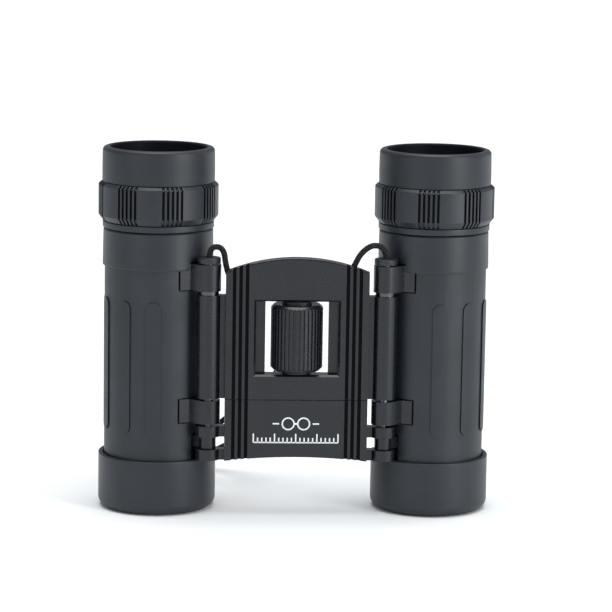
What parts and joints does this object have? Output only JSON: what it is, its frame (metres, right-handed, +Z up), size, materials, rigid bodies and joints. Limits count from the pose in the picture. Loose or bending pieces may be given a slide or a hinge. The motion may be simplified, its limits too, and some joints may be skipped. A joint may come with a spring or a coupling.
{
  "type": "binoculars",
  "caption": "Compact black folding binoculars with rubber armour, a centre focus wheel, grooved eyepiece rings and a thin braided neck cord.",
  "frame": {"origin": "middle of the footprint, level with the objective ends it stands on", "axes": "+Z up from the objectives to the eyepieces, +X across both tubes towards the tube without the dioptre ring, focus wheel and bridge facing -Y"},
  "size_m": [0.0978, 0.0601, 0.09],
  "materials": {
    "satin_plastic": "satin",
    "gloss_plastic": "satin",
    "armour_rubber": "matte",
    "eyecup_rubber": "matte",
    "inner_plastic": "matte",
    "black_aluminium": "matte",
    "steel": "brushed",
    "brass": "satin",
    "glass": "polished",
    "cord": "braided"
  },
  "bodies": {
    "bridge": {"bridge_cover": "gloss_plastic", "bridge_frame": "satin_plastic", "cover_screws": "steel", "hinge_washers": "steel", "left_hinge_pin": "steel", "right_hinge_pin": "steel", "left_pin_cap": "satin_plastic", "right_pin_cap": "satin_plastic", "left_cord": "cord", "right_cord": "cord", "cord_coil": "cord", "cord_tie": "inner_plastic"},
    "focus_wheel": {"focus_wheel": "gloss_plastic", "focus_hub": "inner_plastic"},
    "focus_plate": {"focus_plate": "gloss_plastic", "focus_screw": "brass", "guide_rods": "steel", "left_plate_pin": "steel", "right_plate_pin": "steel"},
    "left_tube": {"left_barrel": "satin_plastic", "left_armour": "armour_rubber", "left_eyepiece_collar": "satin_plastic", "left_eyepiece_flange": "satin_plastic", "left_prism_holder": "inner_plastic", "left_half_pentaprism": "glass", "left_roof_prism": "glass"},
    "right_tube": {"right_barrel": "satin_plastic", "right_armour": "armour_rubber", "right_eyepiece_collar": "satin_plastic", "right_eyepiece_flange": "satin_plastic", "right_prism_holder": "inner_plastic", "right_half_pentaprism": "glass", "right_roof_prism": "glass", "right_eyepiece_cell": "inner_plastic", "right_eye_lens": "glass", "right_field_lens": "glass", "right_lens_spacer": "black_aluminium", "right_grip_ring": "satin_plastic", "right_eyecup": "eyecup_rubber"},
    "diopter_ring": {"left_grip_ring": "satin_plastic", "left_eyecup": "eyecup_rubber"},
    "diopter_cell": {"left_eyepiece_cell": "inner_plastic", "left_eye_lens": "glass", "left_field_lens": "glass", "left_lens_spacer": "black_aluminium"},
    "left_objective": {"left_objective_cell": "inner_plastic", "left_objective_lens": "glass", "left_objective_retainer": "black_aluminium", "left_objective_collar": "satin_plastic"},
    "right_objective": {"right_objective_cell": "inner_plastic", "right_objective_lens": "glass", "right_objective_retainer": "black_aluminium", "right_objective_collar": "satin_plastic"}
  },
  "joints": [
    {"name": "left_fold", "type": "hinge", "parent": "bridge", "child": "left_tube", "pos_m": [-0.0216, -0.0098, 0], "axis": [0, 0, 1], "range_deg": [-70.5, 11]},
    {"name": "right_fold", "type": "hinge", "parent": "bridge", "child": "right_tube", "pos_m": [0.0216, -0.0098, 0], "axis": [0, 0, 1], "range_deg": [-11, 70.5]},
    {"name": "focus_turn", "type": "hinge", "parent": "bridge", "child": "focus_wheel", "pos_m": [0, -0.0098, 0.044], "axis": [0, 0, 1], "range_deg": [0, 450]},
    {"name": "plate_slide", "type": "slide", "parent": "bridge", "child": "focus_plate", "axis": [0, 0, -1], "range_m": [0, 0.003]},
    {"name": "left_objective_slide", "type": "slide", "parent": "left_tube", "child": "left_objective", "axis": [0, 0, -1], "range_m": [0, 0.003]},
    {"name": "right_objective_slide", "type": "slide", "parent": "right_tube", "child": "right_objective", "axis": [0, 0, -1], "range_m": [0, 0.003]},
    {"name": "diopter_turn", "type": "hinge", "parent": "left_tube", "child": "diopter_ring", "pos_m": [-0.0341, 0.00143, 0.076], "axis": [0, 0, 1], "range_deg": [-60, 60]},
    {"name": "diopter_slide", "type": "slide", "parent": "left_tube", "child": "diopter_cell", "axis": [0, 0, 1], "range_m": [-0.001, 0.001]}
  ],
  "couplings": [
    {"joint": "focus_turn", "follows": "plate_slide", "rad_per_m": 2618},
    {"joint": "left_objective_slide", "follows": "plate_slide", "ratio": 1},
    {"joint": "right_objective_slide", "follows": "plate_slide", "ratio": 1},
    {"joint": "diopter_slide", "follows": "diopter_turn", "m_per_rad": 0.00095493}
  ]
}
